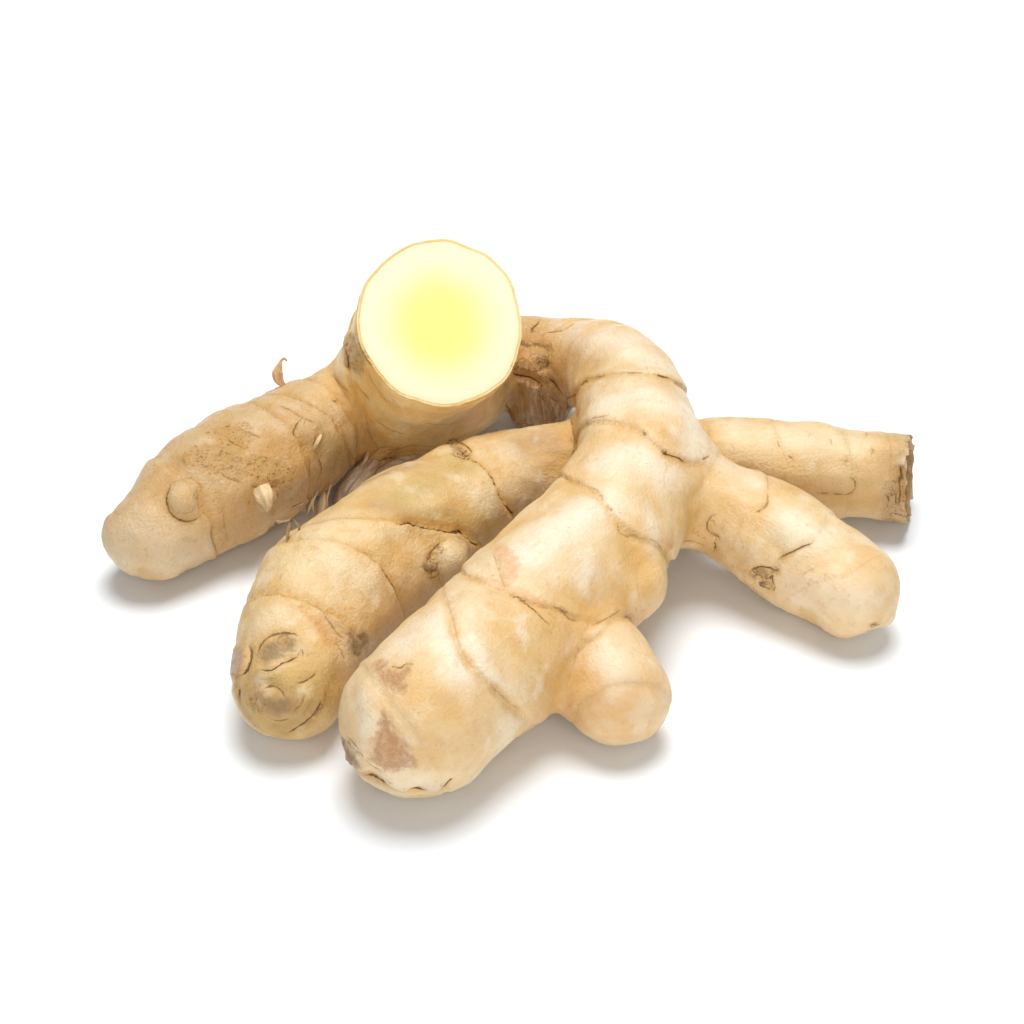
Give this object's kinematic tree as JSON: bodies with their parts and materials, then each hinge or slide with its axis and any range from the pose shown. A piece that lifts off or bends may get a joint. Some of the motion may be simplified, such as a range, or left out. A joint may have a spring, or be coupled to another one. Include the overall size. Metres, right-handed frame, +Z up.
{
  "type": "white turmeric rhizome",
  "caption": "Branched hand of fresh rhizome with ringed fingers and a knuckle cut across, lying on its underside.",
  "frame": {"origin": "middle of the footprint, on the surface that the rhizome lies on", "axes": "+X along the hand's longest extent, from the left finger to the dry end of the middle finger; +Y away from the finger tips, towards the cut knuckle; +Z up"},
  "size_m": [0.164, 0.1424, 0.0539],
  "materials": {
    "skin": "thin, dry, faintly waxy plant skin with leaf-scale rings, satin",
    "flesh": "freshly cut moist flesh, pale ivory with a soft lemon-yellow core, satin"
  },
  "bodies": {
    "root": {"rhizome": "skin"}
  },
  "joints": []
}
